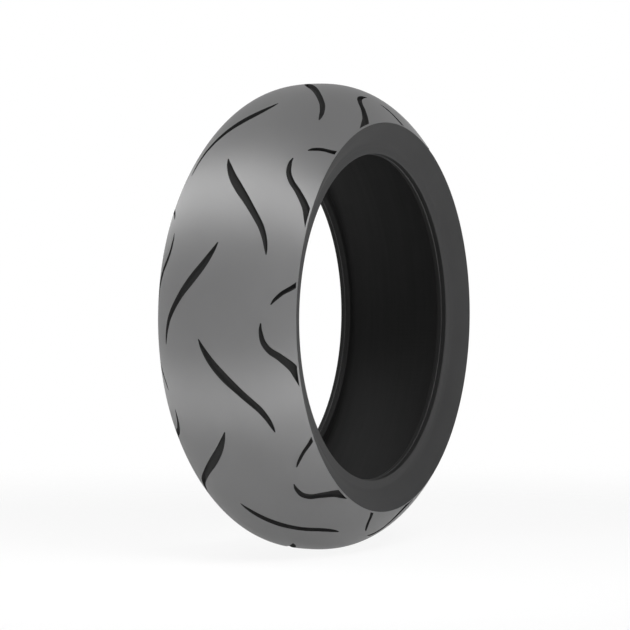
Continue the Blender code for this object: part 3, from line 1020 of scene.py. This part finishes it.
def floor_finish(settings):
    """Pale matte floor that keeps the tyre's shadow and fades into the white room."""
    material = bpy.data.materials.new("pale_floor")
    material.use_nodes = True
    tree = material.node_tree
    tree.nodes.clear()
    place = add_node(tree, "ShaderNodeTexCoord").outputs["Object"]
    speckle = noise(tree, place, scale=60, detail=3)
    paint = shade(tree, speckle, settings.floor_colour, spread=0.004)
    matte = add_node(tree, "ShaderNodeBsdfDiffuse", {"Color": paint})
    white = add_node(tree, "ShaderNodeEmission", {"Color": WHITE, "Strength": 1.0})
    share = math_node(tree, "MULTIPLY", background_share(tree), settings.floor_white)
    ground = add_node(tree, "ShaderNodeMixShader", {0: share, 1: matte.outputs[0], 2: white.outputs[0]})
    flat = add_node(tree, "ShaderNodeVectorMath", {0: place, 1: (1, 1, 0)}, operation="MULTIPLY")
    reach = add_node(tree, "ShaderNodeVectorMath", {0: flat.outputs["Vector"]}, operation="LENGTH")
    fade = add_node(
        tree,
        "ShaderNodeMapRange",
        {"Value": reach.outputs["Value"], "From Min": FLOOR_FADE[0], "From Max": FLOOR_FADE[1]},
        interpolation_type="SMOOTHSTEP",
    )
    clear = add_node(tree, "ShaderNodeBsdfTransparent")
    edge = add_node(
        tree, "ShaderNodeMixShader", {0: fade.outputs["Result"], 1: ground.outputs[0], 2: clear.outputs[0]}
    )
    add_node(tree, "ShaderNodeOutputMaterial", {"Surface": edge.outputs[0]})
    return material


def lamp_plan(ground):
    """Each lamp's place, aim, size and degrees of spread. A small spread is a soft box with a grid."""
    table = TABLE_GAP + ground
    return {
        "key": ((-0.83, 0.7, 1.25), (0, 0.7, 0), (1.6, 0.8), 180),
        "strip": ((-0.83, -0.1, 1.25), (-0.6, -0.1, 0), (3.2, 0.6), 36),
        "near": ((-0.83, -0.9, 1.25), (-0.4, -0.3, 0), (1.8, 0.75), 50),
        "table": ((-0.62, 0, table), (-0.62, 0, 1), (0.4, 1.6), 180),
        "side_table": ((0.1, -0.75, table), (0.1, -0.75, 1), (1.2, 0.7), 180),
        "back": ((1.5, 1.0, 0.2), ORIGIN, (1.4, 1.0), 180),
    }


def look_at(thing, aim):
    """Turn a lamp or a camera towards a point."""
    thing.rotation_euler = (Vector(aim) - thing.location).to_track_quat("-Z", "Y").to_euler()


def add_lamp(name, place, aim, size, spread, power):
    """Soft box lamp that looks at a point, with a grid where its light spreads over fewer degrees."""
    bpy.ops.object.light_add(type="AREA", location=place)
    lamp = bpy.context.active_object
    lamp.name = name
    lamp.data.shape = "RECTANGLE"
    lamp.data.size = size[0]
    lamp.data.size_y = size[1]
    lamp.data.energy = power
    lamp.data.spread = math.radians(spread)
    lamp.visible_camera = False
    look_at(lamp, aim)


def add_camera(settings):
    """Camera at the photograph's angle, aimed a little off the middle of the tyre."""
    flat = math.cos(settings.elevation)
    back = Vector(
        (
            math.sin(settings.azimuth) * flat,
            -math.cos(settings.azimuth) * flat,
            math.sin(settings.elevation),
        )
    )
    right = Vector((math.cos(settings.azimuth), math.sin(settings.azimuth), 0))
    bpy.ops.object.camera_add(location=back * settings.distance)
    camera = bpy.context.active_object
    camera.name = "photo_camera"
    camera.data.lens = settings.focal_length
    camera.data.sensor_width = SENSOR_WIDTH
    look_at(camera, right * settings.aim_right + back.cross(right) * settings.aim_up)
    return camera


class TYRE_OT_stage(bpy.types.Operator):
    """Set up the floor, the lamps, the room and the camera."""

    bl_idname = "tyre.stage"
    bl_label = "Studio"

    def execute(self, context):
        settings = context.scene.tyre_stage
        ground = -context.scene.tyre_sizes.crown_radius
        bpy.ops.object.select_all(action="DESELECT")
        bpy.ops.mesh.primitive_plane_add(size=FLOOR_SIZE, location=(0, 0, ground))
        floor = context.active_object
        floor.name = "studio_floor"
        bpy.ops.object.transform_apply(location=True, rotation=False, scale=False)
        floor.data.materials.append(floor_finish(settings))
        context.scene.world = studio_world(settings)
        for name, (place, aim, size, spread) in lamp_plan(ground).items():
            add_lamp(f"{name}_lamp", place, aim, size, spread, getattr(settings, f"{name}_power"))
        context.scene.camera = add_camera(settings)
        context.scene.view_settings.view_transform = "Standard"
        return {"FINISHED"}


class TYRE_PT_panel(bpy.types.Panel):
    """Sidebar list of the tyre's steps."""

    bl_idname = "TYRE_PT_panel"
    bl_label = "Motorcycle tyre"
    bl_space_type = "VIEW_3D"
    bl_region_type = "UI"
    bl_category = "Tyre"

    def draw(self, context):
        for operator in OPERATORS:
            self.layout.operator(operator.bl_idname)
        for group in (context.scene.tyre_sizes, context.scene.tyre_colours, context.scene.tyre_stage):
            box = self.layout.box()
            for name in group.bl_rna.properties.keys():
                if name not in {"rna_type", "name"}:
                    box.prop(group, name)


GROUPS = {"tyre_sizes": TyreSizes, "tyre_colours": TyreColours, "tyre_stage": StageSettings}
OPERATORS = (TYRE_OT_tread, TYRE_OT_sides, TYRE_OT_liner, TYRE_OT_layers, TYRE_OT_stage)


def register():
    """Register the classes and hang the settings on the scene."""
    for group in GROUPS.values():
        bpy.utils.register_class(group)
    for name, group in GROUPS.items():
        setattr(bpy.types.Scene, name, PointerProperty(type=group))
    for operator in OPERATORS:
        bpy.utils.register_class(operator)
    bpy.utils.register_class(TYRE_PT_panel)


def unregister():
    """Take the classes and settings away again."""
    bpy.utils.unregister_class(TYRE_PT_panel)
    for operator in reversed(OPERATORS):
        bpy.utils.unregister_class(operator)
    for name in GROUPS:
        delattr(bpy.types.Scene, name)
    for group in reversed(GROUPS.values()):
        bpy.utils.unregister_class(group)


def main():
    """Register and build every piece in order."""
    register()
    bpy.ops.tyre.tread()
    bpy.ops.tyre.sides()
    bpy.ops.tyre.liner()
    bpy.ops.tyre.layers()
    bpy.ops.tyre.stage()


if __name__ == "__main__":
    main()
